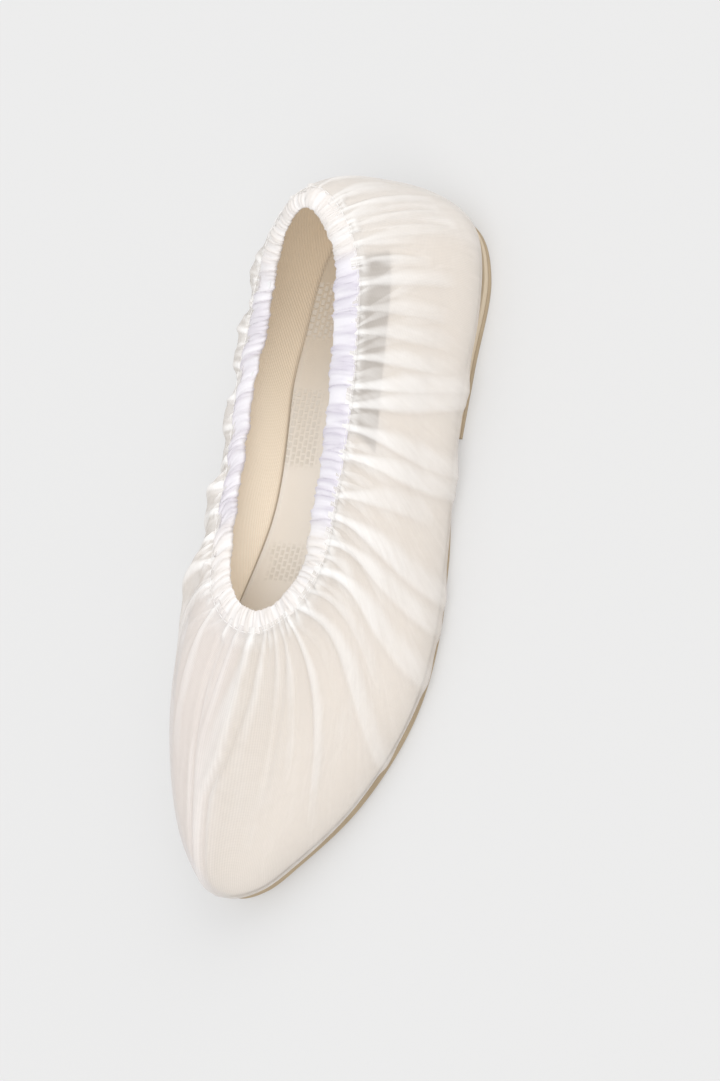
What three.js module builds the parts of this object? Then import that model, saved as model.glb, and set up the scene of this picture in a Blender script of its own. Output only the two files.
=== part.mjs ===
import * as THREE from 'three';

// A left ballet slipper, flat on its sole, in millimetres: +Z up, toe toward -Y, outer side toward +X.
// Stations run from the back of the heel to the tip of the toe.

// Driving sizes
const LENGTH = 248;          // outsole, heel to toe
const WIDTH = 88;            // outsole, across the ball
const HEEL_HEIGHT = 60;      // top edge at the back of the heel
const THROAT_HEIGHT = 37;    // top edge at the throat
const HEEL_RISE = 4.8;       // how far the heel pieces lift the outsole
const TOE_SPRING = 5;        // how far the toe curls up
const OUTSOLE = 3.4;         // outsole thickness
const CLOTH = 0.8;           // base cloth and its lasting margin
const SHEER = 0.5;           // gathered organza, as one layer
const BOARD = 1.5;           // insole board
const FOAM = 3;              // insole foam
const SOCK = 0.8;            // sock liner
const STIFFENER = 0.9;       // toe puff and heel counter
const LINING = 0.7;          // lining cloth
const ELASTIC = 3.1;         // width of the elastic
const FOLD = 2.1;            // casing above the elastic, at the top edge
const EASE = 1.3;            // room between the elastic and the layers' cut edges
const LAP = 2.5;             // layers caught in the casing's seam
const CASING = FOLD + ELASTIC + EASE + LAP;
const MARGIN = 11;           // cloth turned in under the insole board
const GAP = 0.3;             // between one layer and the next

// Outsole edge as fractions of LENGTH and WIDTH, from the heel along the outer side to the toe and back
const SOLE_EDGE = [
  [0, 0], [0.036, 0.26], [0.105, 0.37], [0.24, 0.40], [0.40, 0.44], [0.605, 0.545],
  [0.725, 0.53], [0.855, 0.39], [0.945, 0.20], [0.984, 0.095], [1, -0.025], [0.984, -0.14],
  [0.945, -0.26], [0.855, -0.42], [0.745, -0.455], [0.625, -0.38], [0.465, -0.29],
  [0.24, -0.33], [0.105, -0.33], [0.036, -0.24],
];
const SOLE_TOE = 10;

// Top edge: fractions of LENGTH and WIDTH, then of the drop from heel height to throat height
const TOP_EDGE = [
  [0.103, -0.058, 1], [0.123, 0.012, 0.86], [0.171, 0.063, 0.60], [0.258, 0.10, 0.38],
  [0.363, 0.13, 0.20], [0.472, 0.15, 0.08], [0.56, 0.15, 0.03], [0.609, 0.097, 0.01],
  [0.634, 0, 0], [0.625, -0.097, 0], [0.593, -0.17, 0], [0.52, -0.222, 0], [0.427, -0.244, 0.07],
  [0.331, -0.253, 0.20], [0.242, -0.227, 0.37], [0.173, -0.208, 0.58], [0.124, -0.147, 0.84],
];
const TOP_THROAT = 8;

// How the wall swells between the two edges, from the heel (first) to the toe (last), drawn for one length
const DRAWN = LENGTH / 248;
const SWELL = {
  outer: { out: [4, 9, 8, 7, 6, 7], up: [18, 18, 18, 18, 17, 17], in: [13, 16, 16, 20, 32, 46], drop: [5, 0, 0, 0, -1, -3] },
  inner: { out: [4, 5, 8, 4, 3, 7], up: [18, 18, 21, 16, 13, 17], in: [13, 17, 17, 14, 22, 46], drop: [5, 3, 1, -1, -2, -3] },
};

const clamp = (x) => Math.min(1, Math.max(0, x));
const smooth = (from, to, x) => {
  const t = clamp((x - from) / (to - from));
  return t * t * (3 - 2 * t);
};

// Value of an evenly spaced list at u from 0 to 1, level at both ends
function along(values, u) {
  const last = values.length - 1;
  const at = (i) => values[i < 0 ? -i : i > last ? 2 * last - i : i];
  const i = Math.min(last - 1, Math.floor(u * last));
  const t = u * last - i;
  const [a, b, c, d] = [at(i - 1), at(i), at(i + 1), at(i + 2)];
  return b + 0.5 * t * (c - a + t * (2 * a - 5 * b + 4 * c - d + t * (3 * (b - c) + d - a)));
}

// Levels that depend only on the station
const underside = (s) => HEEL_RISE * (1 - smooth(0.27, 0.5, s / LENGTH))
  + TOE_SPRING * clamp((s / LENGTH - 0.72) / 0.28) ** 2;
const soleTop = (s) => underside(s) + OUTSOLE;
const boardBottom = (s) => soleTop(s) + CLOTH + 2 * GAP;
const boardTop = (s) => boardBottom(s) + BOARD;
const foamTop = (s) => boardTop(s) + GAP + FOAM;

// Half of a closed edge curve, from the heel end to the toe end, evenly spaced
function halfEdge(points, from, to) {
  const curve = new THREE.CatmullRomCurve3(points, true, 'centripetal');
  const raw = [];
  for (let i = 0; i <= 400; i += 1) raw.push(curve.getPoint(from + (to - from) * i / 400));
  const length = [0];
  for (let i = 1; i <= 400; i += 1) length.push(length[i - 1] + raw[i].distanceTo(raw[i - 1]));
  return (u) => {
    const want = clamp(u) * length[400];
    let i = 1;
    while (i < 400 && length[i] < want) i += 1;
    return raw[i - 1].clone().lerp(raw[i], (want - length[i - 1]) / (length[i] - length[i - 1]));
  };
}
const solePoints = SOLE_EDGE.map(([s, p]) => new THREE.Vector3(p * WIDTH, -s * LENGTH, 0));
const topPoints = TOP_EDGE.map(([s, p, h]) => new THREE.Vector3(
  p * WIDTH, -s * LENGTH, THROAT_HEIGHT + h * (HEEL_HEIGHT - THROAT_HEIGHT)));
const SOLE_SIDE = {
  outer: halfEdge(solePoints, 0, SOLE_TOE / SOLE_EDGE.length),
  inner: halfEdge(solePoints, 1, SOLE_TOE / SOLE_EDGE.length),
};
const TOP_SIDE = {
  outer: halfEdge(topPoints, 0, TOP_THROAT / TOP_EDGE.length),
  inner: halfEdge(topPoints, 1, TOP_THROAT / TOP_EDGE.length),
};

// Level outward direction of an edge at u
function outward(edge, u, side) {
  if (u < 1e-6) return new THREE.Vector3(0, 1, 0);
  if (u > 1 - 1e-6) return new THREE.Vector3(0, -1, 0);
  const step = edge(u + 0.004).sub(edge(u - 0.004)).setZ(0).normalize();
  const sign = side === 'outer' ? 1 : -1;
  return new THREE.Vector3(-step.y * sign, step.x * sign, 0);
}

// One column of the upper's outer face. Places around the shoe run 0 at the heel, 1 at the toe, 2 at the heel.
const STEPS = 48;
const columns = new Map();
function column(place) {
  const key = ((place % 2) + 2) % 2;
  if (columns.has(key)) return columns.get(key);
  const side = key <= 1 ? 'outer' : 'inner';
  const u = key <= 1 ? key : 2 - key;
  const swell = SWELL[side];
  const foot = SOLE_SIDE[side](u);
  const footOut = outward(SOLE_SIDE[side], u, side);
  const top = TOP_SIDE[side](u);
  const topOut = outward(TOP_SIDE[side], u, side);
  const start = foot.clone().addScaledVector(footOut, -1);
  start.z = soleTop(-start.y) + GAP;
  const low = start.clone().addScaledVector(footOut, DRAWN * along(swell.out, u));
  low.z += along(swell.up, u);
  const high = top.clone().addScaledVector(topOut, DRAWN * along(swell.in, u));
  high.z += along(swell.drop, u);
  const curve = new THREE.CubicBezierCurve3(start, low, high, top);
  const points = [];
  for (let i = 0; i <= STEPS; i += 1) points.push(curve.getPoint(i / STEPS));
  const length = [0];
  for (let i = 1; i <= STEPS; i += 1) length.push(length[i - 1] + points[i].distanceTo(points[i - 1]));
  const found = { foot, footOut, start, points, length };
  columns.set(key, found);
  return found;
}

// A point at a distance along a column, measured from the sole
function onColumn(place, distance) {
  const { points, length } = column(place);
  let i = 1;
  while (i < STEPS && length[i] < distance) i += 1;
  return points[i - 1].clone().lerp(points[i], (distance - length[i - 1]) / (length[i] - length[i - 1]));
}

// Point and outward direction. Rows up to 1 are fractions of the wall below the casing;
// rows above 1 are millimetres into the casing, as 1 + mm.
function wall(place, row) {
  const reach = (at, r) => {
    const below = column(at).length[STEPS] - CASING;
    return r <= 1 ? below * r : below + r - 1;
  };
  const here = onColumn(place, reach(place, row));
  const ahead = onColumn(place + 0.006, reach(place + 0.006, row));
  const behind = onColumn(place - 0.006, reach(place - 0.006, row));
  const distance = reach(place, row);
  const above = onColumn(place, distance + 0.8);
  const below = onColumn(place, distance - 0.8);
  const out = above.sub(below).cross(ahead.sub(behind)).normalize();
  return { here, out };
}

// Shared columns: close together round the heel and toe, with a narrow pair at every lining seam
const PER_SIDE = 30;
const SEAMS = [0.12, 0.62, 1.38, 1.88];
const SEAM = 0.0012;
const PLACES = [];
for (let i = 0; i < 2 * PER_SIDE; i += 1) {
  const t = i / PER_SIDE;
  const place = t - 0.6 * Math.sin(2 * Math.PI * t) / (2 * Math.PI);
  if (SEAMS.every((seam) => Math.abs(seam - place) > 0.008)) PLACES.push(place);
}
SEAMS.forEach((seam) => PLACES.push(seam - SEAM, seam + SEAM));
PLACES.sort((a, b) => a - b);

// Shared columns between two places, going round past the heel when the first is the larger
function between(from, to) {
  const tight = 1e-9;
  if (from < to) return PLACES.filter((p) => p >= from - tight && p <= to + tight);
  return [...PLACES.filter((p) => p >= from - tight), ...PLACES.filter((p) => p <= to + tight)];
}

// Mesh from numbered points and faces
function body(points, faces) {
  const geometry = new THREE.BufferGeometry();
  geometry.setAttribute('position', new THREE.Float32BufferAttribute(points.flatMap((p) => [p.x, p.y, p.z]), 3));
  geometry.setIndex(faces.flat());
  geometry.computeVertexNormals();
  return geometry;
}

// Closed body from sections, each a closed loop of points; the row of sections itself may close
function sweep(sections, closes) {
  const n = sections[0].length;
  const faces = [];
  const count = sections.length;
  for (let i = 0; i < (closes ? count : count - 1); i += 1) {
    const a = i * n;
    const b = ((i + 1) % count) * n;
    for (let j = 0; j < n; j += 1) {
      const k = (j + 1) % n;
      // Both faces of a layer are split along the same diagonal, so stacked layers never touch
      if (j < n / 2) faces.push([a + j, b + j, b + k], [a + j, b + k, a + k]);
      else faces.push([a + j, b + j, a + k], [b + j, b + k, a + k]);
    }
  }
  if (!closes) {
    // Sections are thin strips: their first half runs up one face and their second half back down the other
    const z = (count - 1) * n;
    for (let j = 0; j < n / 2 - 1; j += 1) {
      faces.push([j, j + 1, n - 2 - j], [j, n - 2 - j, n - 1 - j]);
      faces.push([z + j, z + n - 2 - j, z + j + 1], [z + j, z + n - 1 - j, z + n - 2 - j]);
    }
  }
  return body(sections.flat(), faces);
}

// A cloth layer: outer and inner offsets from the upper's outer face, over some places and rows
function layer(places, rows, outside, inside, closes, hem) {
  const sections = places.map((place) => {
    const faces = rows.map((row) => ({ row, ...wall(place, row) }));
    const depth = (row, value) => (typeof value === 'function' ? value(place, row) : value);
    const outer = faces.map(({ row, here, out }) => here.clone().addScaledVector(out, depth(row, outside)));
    const inner = faces.map(({ row, here, out }) => here.clone().addScaledVector(out, depth(row, inside)));
    if (hem) {
      const { start, footOut } = column(place);
      const thick = outside - inside;
      outer[0] = start.clone().setZ(start.z + 0.15);
      inner[0] = start.clone().addScaledVector(footOut, -thick).setZ(start.z + thick);
      const end = start.clone().addScaledVector(footOut, -hem);
      end.z = soleTop(-end.y) + GAP;
      const heel = start.clone().addScaledVector(footOut, -0.6);
      heel.z = soleTop(-heel.y) + GAP;
      outer.unshift(end, heel);
      inner.unshift(end.clone().setZ(end.z + thick), inner[0].clone().addScaledVector(footOut, -0.5));
    }
    return [...inner, ...outer.reverse()];
  });
  return sweep(sections, closes);
}

// A slab under the foot: the sole outline drawn in by some distance, between two stations
function slab(inset, from, to, bottom, top, steps = 36) {
  const rim = { outer: [], inner: [] };
  PLACES.forEach((place) => {
    const { foot, footOut } = column(place);
    const point = foot.clone().addScaledVector(footOut, -inset);
    if (place <= 1) rim.outer.push(point);
    if (place >= 1 || place === 0) rim.inner.push(point);
  });
  rim.inner.push(rim.inner.shift());
  rim.inner.reverse();
  const toe = rim.outer[rim.outer.length - 1];
  if (rim.inner[rim.inner.length - 1] !== toe) rim.inner.push(toe);
  const across = (line, s) => {
    let i = 1;
    while (i < line.length - 1 && -line[i].y < s) i += 1;
    return line[i - 1].clone().lerp(line[i], (s + line[i - 1].y) / (line[i - 1].y - line[i].y));
  };
  const first = Math.max(from, -rim.outer[0].y + 0.4);
  const last = Math.min(to, -toe.y - 0.4);
  const sections = [];
  for (let i = 0; i <= steps; i += 1) {
    const s = first + (last - first) * (1 - Math.cos(Math.PI * i / steps)) / 2;
    const outer = across(rim.outer, s);
    const inner = across(rim.inner, s);
    sections.push([
      inner.clone().setZ(bottom(s)), inner.clone().setZ(top(s)),
      outer.clone().setZ(top(s)), outer.clone().setZ(bottom(s)),
    ].map((p) => p.setY(-s)));
  }
  return sweep(sections, false);
}

// A strip of metal down the middle of the waist
function strip(width, from, to, bottom, top, steps) {
  const sections = [];
  for (let i = 0; i <= steps; i += 1) {
    const s = from + (to - from) * i / steps;
    const middle = 0.045 * WIDTH;
    sections.push([[-1, bottom], [-1, top], [1, top], [1, bottom]].map(
      ([side, level]) => new THREE.Vector3(middle + side * width / 2, -s, level(s))));
  }
  return sweep(sections, false);
}

// A ring of any cross-section, given as pairs of millimetres below the top edge and offset outward
function topRing(profile) {
  const sections = PLACES.map((place) => profile.map(([below, offset]) => {
    const { here, out } = wall(place, 1 + CASING - below);
    return here.addScaledVector(out, offset);
  }).reverse());
  return sweep(sections, true);
}

const MATERIALS = {
  organza: [0xf3efe9, 0.55, 0],
  cloth: [0xefe9e1, 0.8, 0],
  casing: [0xebe8f0, 0.6, 0],
  twill: [0xd8c6ae, 0.85, 0],
  sock: [0xdad3c8, 0.6, 0],
  tan: [0xbda886, 0.75, 0],
  light: [0xd5c7ac, 0.8, 0],
  board: [0xb99f7c, 0.9, 0],
  foam: [0xe6dfcf, 0.95, 0],
  felt: [0x9c958a, 0.95, 0],
  stiff: [0xe4ddd0, 0.85, 0],
  elastic: [0xf4f4f4, 0.8, 0],
  thread: [0xf5f2ee, 0.7, 0],
  steel: [0xb9bcc0, 0.35, 0.9],
};

const slipper = new THREE.Group();
slipper.name = 'ballet_slipper';
function add(name, geometry, material) {
  const [color, roughness, metalness] = MATERIALS[material];
  const mesh = new THREE.Mesh(geometry, new THREE.MeshStandardMaterial({ color, roughness, metalness }));
  mesh.name = name;
  slipper.add(mesh);
}

// Sole
const HEEL_END = 0.335 * LENGTH;
const pieceTop = (s) => (underside(s) - 2 * GAP) / 2;
add('heel_top_piece', slab(0.4, 0, HEEL_END, () => 0, pieceTop, 16), 'tan');
add('heel_lift', slab(0.4, 0, HEEL_END, (s) => pieceTop(s) + GAP, (s) => underside(s) - GAP, 16), 'light');
add('outsole', slab(0, 0, LENGTH, underside, soleTop), 'tan');
add('bottom_filler', slab(MARGIN + 2, 0.5 * LENGTH, 0.93 * LENGTH,
  (s) => soleTop(s) + GAP, (s) => boardBottom(s) - GAP, 16), 'felt');
add('shank', strip(13, 0.11 * LENGTH, 0.485 * LENGTH,
  (s) => soleTop(s) + GAP, (s) => boardBottom(s) - GAP, 14), 'steel');
add('insole_board', slab(1 + CLOTH + GAP + 0.4, 0, LENGTH, boardBottom, boardTop), 'board');
const FOOTBED = 1 + CLOTH + STIFFENER + LINING + 4 * GAP + 1.4;
add('heel_cushion', slab(FOOTBED, 0, 0.3 * LENGTH, (s) => boardTop(s) + GAP, foamTop, 14), 'foam');
add('insole_foam', slab(FOOTBED, 0.3 * LENGTH + GAP, LENGTH, (s) => boardTop(s) + GAP, foamTop, 30), 'foam');
add('sock_liner', slab(FOOTBED - 0.2, 0, LENGTH, (s) => foamTop(s) + GAP, (s) => foamTop(s) + GAP + SOCK), 'sock');

// Upper
const BODY = [0, 0.08, 0.2, 0.34, 0.48, 0.62, 0.76, 0.89, 1, 1 + LAP];
add('base_upper', layer(PLACES, BODY, 0, -CLOTH, true, MARGIN), 'cloth');
add('sheer_upper', layer(PLACES, BODY.map((row) => Math.max(row, 0.01)), GAP + SHEER, GAP, true), 'organza');

// Stiffeners behind the base cloth
const around = (place) => (place <= 1 ? place : 2 - place);
const HIGHEST_COUNTER = 0.62;
const HIGHEST_PUFF = 0.48;
const BEHIND = [0.08, 0.2, 0.34, 0.48, 0.62];
const counterPlaces = PLACES.filter((p) => around(p) < 0.24);
add('heel_counter', layer([...counterPlaces.filter((p) => p > 1), ...counterPlaces.filter((p) => p <= 1)],
  BEHIND, -CLOTH - GAP, -CLOTH - GAP - STIFFENER, false), 'stiff');
add('toe_puff', layer(PLACES.filter((p) => around(p) > 0.85),
  BEHIND.filter((row) => row <= HIGHEST_PUFF), -CLOTH - GAP, -CLOTH - GAP - STIFFENER, false), 'stiff');

// Linings step inward where a stiffener lies behind them
function liningDepth(place, row) {
  const u = around(place);
  const counter = (1 - smooth(0.24, 0.34, u)) * (1 - smooth(HIGHEST_COUNTER, 0.89, row));
  const puff = smooth(0.72, 0.85, u) * (1 - smooth(HIGHEST_PUFF, 0.76, row));
  return -CLOTH - GAP - (STIFFENER + GAP) * Math.max(counter, puff);
}
const liningInside = (place, row) => liningDepth(place, row) - LINING;
const LINED = BODY.filter((row) => row > 0.05);
const [heelOuter, throatOuter, throatInner, heelInner] = SEAMS;
const lining = (name, from, to) => add(name,
  layer(between(from, to), LINED, liningDepth, liningInside, false), 'twill');
lining('lining_heel', heelInner + SEAM, heelOuter - SEAM);
lining('lining_quarter_outer', heelOuter + SEAM, throatOuter - SEAM);
lining('lining_vamp', throatOuter + SEAM, throatInner - SEAM);
lining('lining_quarter_inner', throatInner + SEAM, heelInner - SEAM);

// Elastic casing folded over the top edge, its elastic and its stitching
const over = GAP + SHEER + GAP;
const under = -CLOTH - GAP - LINING - GAP;
const caught = CASING - LAP + 0.1;
const band = FOLD + ELASTIC;
add('topline_casing', topRing([
  [CASING, over], [CASING, over + 0.8], [band - 0.2, over + 0.6], [2, over + 0.1], [0.5, 0],
  [0, -1], [0.5, -2], [2, under - 0.6], [band - 0.2, under - 0.8], [CASING - 0.6, under - 0.8],
  [CASING - 0.6, under], [caught, under], [band - 0.4, -2], [2, -1.9], [1, -1], [2, 0], [band - 0.4, 0.3],
  [caught, over],
]), 'casing');
add('elastic_band', topRing([[band, -0.35], [FOLD, -0.5], [FOLD, -1.45], [band, -1.55]]), 'elastic');
const seat = over + 0.8 + GAP;
add('casing_stitching', topRing(
  [[1.1, 0], [1.1, 0.52], [1.7, 0.52], [1.7, 0]].map(([up, off]) => [CASING - up, seat - 0.02 + off])), 'thread');

// Centre the slipper on its own footprint
const box = new THREE.Box3().setFromObject(slipper);
const centre = box.getCenter(new THREE.Vector3());
slipper.children.forEach((mesh) => mesh.geometry.translate(-centre.x, -centre.y, -box.min.z));

export default slipper;
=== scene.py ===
import math

import bmesh
import bpy
import numpy as np
from mathutils import Matrix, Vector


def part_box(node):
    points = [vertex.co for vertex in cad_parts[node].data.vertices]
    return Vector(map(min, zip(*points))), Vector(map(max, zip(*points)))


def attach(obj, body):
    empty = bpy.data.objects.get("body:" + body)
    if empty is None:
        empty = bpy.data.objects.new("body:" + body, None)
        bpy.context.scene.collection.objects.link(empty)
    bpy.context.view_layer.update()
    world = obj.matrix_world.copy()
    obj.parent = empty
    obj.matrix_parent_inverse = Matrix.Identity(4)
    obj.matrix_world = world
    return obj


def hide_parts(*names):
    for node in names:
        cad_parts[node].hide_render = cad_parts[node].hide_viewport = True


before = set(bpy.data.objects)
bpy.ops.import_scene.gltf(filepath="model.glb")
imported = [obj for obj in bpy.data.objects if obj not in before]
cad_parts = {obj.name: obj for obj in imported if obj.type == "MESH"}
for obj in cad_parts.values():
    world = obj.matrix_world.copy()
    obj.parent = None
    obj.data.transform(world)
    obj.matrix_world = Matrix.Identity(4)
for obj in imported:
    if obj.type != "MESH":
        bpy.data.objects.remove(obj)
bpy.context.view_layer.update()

# -------------------- Outsole
# A thin tan rubber sole, cemented under the whole shoe. It is flat at heel and ball, rises over the heel
# pieces and curls up a little at the toe; its edge is rounded and carries one fine moulded groove.

LENGTH = 248.0
WIDTH = 88.0
HEEL_RISE = 4.8
TOE_SPRING = 5.0
OUTSOLE_THICK = 3.4
GAP = 0.3
SLAB_START = 0.4
WAIST = (0.27, 0.5)
SPRING_START = 0.72

# Sole edge from the heel along the outer side to the toe and back, as shares of length and width
SOLE_EDGE = [
    (0, 0), (0.036, 0.26), (0.105, 0.37), (0.24, 0.40), (0.40, 0.44), (0.605, 0.545), (0.725, 0.53),
    (0.855, 0.39), (0.945, 0.20), (0.984, 0.095), (1, -0.025), (0.984, -0.14), (0.945, -0.26),
    (0.855, -0.42), (0.745, -0.455), (0.625, -0.38), (0.465, -0.29), (0.24, -0.33), (0.105, -0.33),
    (0.036, -0.24),
]
SOLE_TOE = 10
SPAN_STEPS = 40
SLAB_SIDE = 200
SLAB_ACROSS = 16
CROWDING = 0.35
EDGE_STEP = 0.004
MERGE = 0.00002


def smooth(low, high, x):
    """Rises softly from 0 at low to 1 at high."""
    t = np.clip((x - low) / (high - low), 0, 1)
    return t * t * (3 - 2 * t)


def band(x, low, full, easing, end):
    """Rises softly from 0 at low to 1 at full, and falls back to 0 from easing to end."""
    return smooth(low, full, x) * (1 - smooth(easing, end, x))


def round_curve(points):
    """A smooth closed line through some points, SPAN_STEPS steps from each to the next."""
    p = np.array(points, float)
    t = np.linspace(0, 1, SPAN_STEPS, endpoint=False)[:, None]
    spans = []
    for i in range(len(p)):
        a, b, c, d = p[i - 1], p[i], p[(i + 1) % len(p)], p[(i + 2) % len(p)]
        ab, bc, cd = [math.sqrt(np.linalg.norm(v)) for v in (b - a, c - b, d - c)]
        leave = ((b - a) / ab - (c - a) / (ab + bc) + (c - b) / bc) * bc
        arrive = ((c - b) / bc - (d - b) / (bc + cd) + (d - c) / cd) * bc
        spans.append(b + leave * t + (3 * (c - b) - 2 * leave - arrive) * t**2
                     + (2 * (b - c) + leave + arrive) * t**3)
    return np.concatenate(spans)


def two_sides(points, toe):
    """The outer and the inner side of an edge, each from the heel to the toe."""
    line = round_curve(points)
    toe *= SPAN_STEPS
    return line[:toe + 1], np.vstack([line[toe:], line[:1]])[::-1]


def on_edge(sides, places):
    """Points on an edge. Places run 0 at the heel, 1 at the toe and 2 back at the heel."""
    places = np.mod(places, 2)
    out = np.zeros((len(places), 3))
    for line, mask, u in ((sides[0], places <= 1, places), (sides[1], places > 1, 2 - places)):
        far = np.r_[0, np.cumsum(np.linalg.norm(np.diff(line, axis=0), axis=1))]
        for k in range(3):
            out[mask, k] = np.interp(u[mask] * far[-1], far, line[:, k])
    return out


def outward(sides, places):
    """Level directions that point straight out of an edge."""
    step = on_edge(sides, places + EDGE_STEP) - on_edge(sides, places - EDGE_STEP)
    out = np.stack([-step[:, 1], step[:, 0], np.zeros(len(places))], axis=1)
    return out / np.linalg.norm(out, axis=1)[:, None]


# The outline before the shoe is centred, and the shift that puts it over the node, whose heel end lies
# SLAB_START inside the outline
sole_sides = two_sides([(w * WIDTH, -s * LENGTH, 0) for s, w in SOLE_EDGE], SOLE_TOE)
low, high = [np.array(corner) * 1000 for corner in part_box("outsole")]
every_edge = np.vstack(sole_sides)
SHIFT = np.array([(low[0] + high[0] - every_edge[:, 0].min() - every_edge[:, 0].max()) / 2,
                  high[1] + SLAB_START, 0.0])


def underside(s):
    """Height of the outsole's bottom at a distance s from the heel."""
    spring = np.clip((s / LENGTH - SPRING_START) / (1 - SPRING_START), 0, 1)
    return HEEL_RISE * (1 - smooth(*WAIST, s / LENGTH)) + TOE_SPRING * spring ** 2


def sole_top(s):
    return underside(s) + OUTSOLE_THICK


def show(name, data):
    """Puts a mesh, lamp or camera in the scene."""
    shown = bpy.data.objects.new(name, data)
    bpy.context.scene.collection.objects.link(shown)
    return shown


def make_piece(name, points, faces, finish, around=None, edges=()):
    """A mesh from points in millimetres before the shoe is centred. around measures the cloth at each."""
    mesh = bpy.data.meshes.new(name)
    placed = (np.asarray(points, float) + SHIFT) / 1000
    mesh.from_pydata(placed.tolist(), edges, faces)
    if around is not None:
        layer = mesh.uv_layers.new(name="cloth")
        corners = np.zeros(len(mesh.loops), int)
        mesh.loops.foreach_get("vertex_index", corners)
        layer.data.foreach_set("uv", np.asarray(around, float)[corners].ravel())
    mesh.polygons.foreach_set("use_smooth", [True] * len(mesh.polygons))
    mesh.materials.append(finish)
    return show(name, mesh)


def settle(piece, slot, *nodes):
    """Rides a finished piece on the shoe and hides the nodes that it stands for."""
    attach(piece, "root")
    if nodes:
        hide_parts(*nodes)


def tidy_mesh(piece):
    """Merges doubled points and turns every face outward."""
    work = bmesh.new()
    work.from_mesh(piece.data)
    bmesh.ops.remove_doubles(work, verts=work.verts, dist=MERGE)
    bmesh.ops.recalc_face_normals(work, faces=work.faces)
    work.to_mesh(piece.data)
    work.free()


def tone(red, green, blue):
    """A colour as a painter's 0 to 255 values, made linear."""
    light = [((c / 255 + 0.055) / 1.055) ** 2.4 if c > 10 else c / 3295 for c in (red, green, blue)]
    return tuple(light) + (1,)


def node_adder(tree):
    """A function that adds a node to a tree, changes its settings, and wires or sets its inputs."""
    def add(kind, wires, **settings):
        node = tree.nodes.new(kind)
        for key, value in settings.items():
            setattr(node, key, value)
        for key, value in wires.items():
            if isinstance(value, bpy.types.NodeSocket):
                tree.links.new(value, node.inputs[key])
            else:
                node.inputs[key].default_value = value
        return node

    return add


def new_finish(name, rough, **shader_values):
    """A material, the function that adds nodes to it, and one that wires its shader."""
    finish = bpy.data.materials.new(name)
    finish.use_nodes = True
    tree = finish.node_tree
    shader = tree.nodes["Principled BSDF"]
    shader.inputs["Roughness"].default_value = rough
    for key, value in shader_values.items():
        shader.inputs[key.replace("_", " ")].default_value = value

    def wire(socket, key="Base Color"):
        tree.links.new(socket, shader.inputs[key])

    return finish, node_adder(tree), wire


def on_piece(add):
    """Places on the piece, in metres."""
    return add("ShaderNodeTexCoord", {}).outputs["Object"]


def noise(add, where, scale, detail, rough=0.5):
    wires = {"Vector": where, "Scale": scale, "Detail": detail, "Roughness": rough}
    return add("ShaderNodeTexNoise", wires).outputs["Fac"]


def blend(add, share, first, second):
    """A colour between two, by a share from 0 to 1."""
    return add("ShaderNodeMix", {0: share, 6: first, 7: second}, data_type="RGBA").outputs[2]


def bump(add, height, strength, distance, over=None, sunk=False):
    """Fine relief on a finish, laid over another relief if there is one."""
    wires = {"Height": height, "Strength": strength, "Distance": distance}
    if over is not None:
        wires["Normal"] = over
    return add("ShaderNodeBump", wires, invert=sunk).outputs["Normal"]


def closed_slab(name, finish, rings, across, level):
    """A solid from rings that run from the heel along the outer side and back. level gives the height
    of the points that fill the first ring, below, and the last, above."""
    n = len(rings[0])
    half = n // 2
    faces = [(row * n + i, row * n + (i + 1) % n, (row + 1) * n + (i + 1) % n, (row + 1) * n + i)
             for row in range(len(rings) - 1) for i in range(n)]
    parts = list(rings)
    row = across + 1
    share = np.linspace(0, 1, row)[None, :, None]
    for cap in (0, len(rings) - 1):
        ring = rings[cap]
        base = sum(len(part) for part in parts)
        middle = ring[1:half, None] * (1 - share) + ring[:half:-1, None] * share
        middle[..., 2] = level(middle, share[..., 0], cap > 0)
        parts.append(middle.reshape(-1, 3))
        for i in range(half - 2):
            for j in range(across):
                a = base + i * row + j
                faces.append((a, a + 1, a + row + 1, a + row))
        for end, i in ((cap * n, 0), (cap * n + half, half - 2)):
            for j in range(across):
                faces.append((end, base + i * row + j, base + i * row + j + 1))
    piece = make_piece(name, np.vstack(parts), faces, finish)
    tidy_mesh(piece)
    return piece


def sole_slab(name, finish, edge, bottom, top, cut=None, front=False):
    """A piece in the outline of the sole. edge lists (inset, height share) up its side, from 0 to 1. A cut
    keeps the heel end, or the front."""
    places = np.arange(2 * SLAB_SIDE) / SLAB_SIDE
    places = places - CROWDING * np.sin(2 * np.pi * places) / (2 * np.pi)
    foot, out = on_edge(sole_sides, places), outward(sole_sides, places)
    rings = []
    for inset, share in edge:
        ring = foot - out * inset
        s = -ring[:, 1]
        ring[:, 2] = bottom(s) + share * (top(s) - bottom(s))
        rings.append(ring)
    piece = closed_slab(name, finish, rings, SLAB_ACROSS,
                        lambda middle, share, above: (top if above else bottom)(-middle[..., 1]))
    if cut is not None:
        work = bmesh.new()
        work.from_mesh(piece.data)
        everything = work.verts[:] + work.edges[:] + work.faces[:]
        bmesh.ops.bisect_plane(work, geom=everything, plane_co=(0, (SHIFT[1] - cut) / 1000, 0),
                               plane_no=(0, 1 if front else -1, 0), clear_outer=True)
        bmesh.ops.holes_fill(work, edges=[e for e in work.edges if e.is_boundary])
        work.to_mesh(piece.data)
        work.free()
    return piece


tan_rubber, add, wire = new_finish("tan_rubber", 0.62)
where = on_piece(add)
cloudy = noise(add, where, 90.0, 4.0, 0.6)
wire(blend(add, cloudy, tone(163, 144, 118), tone(190, 171, 142)))
wire(bump(add, noise(add, where, 2400.0, 3.0), 0.25, 0.0002), "Normal")

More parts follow.
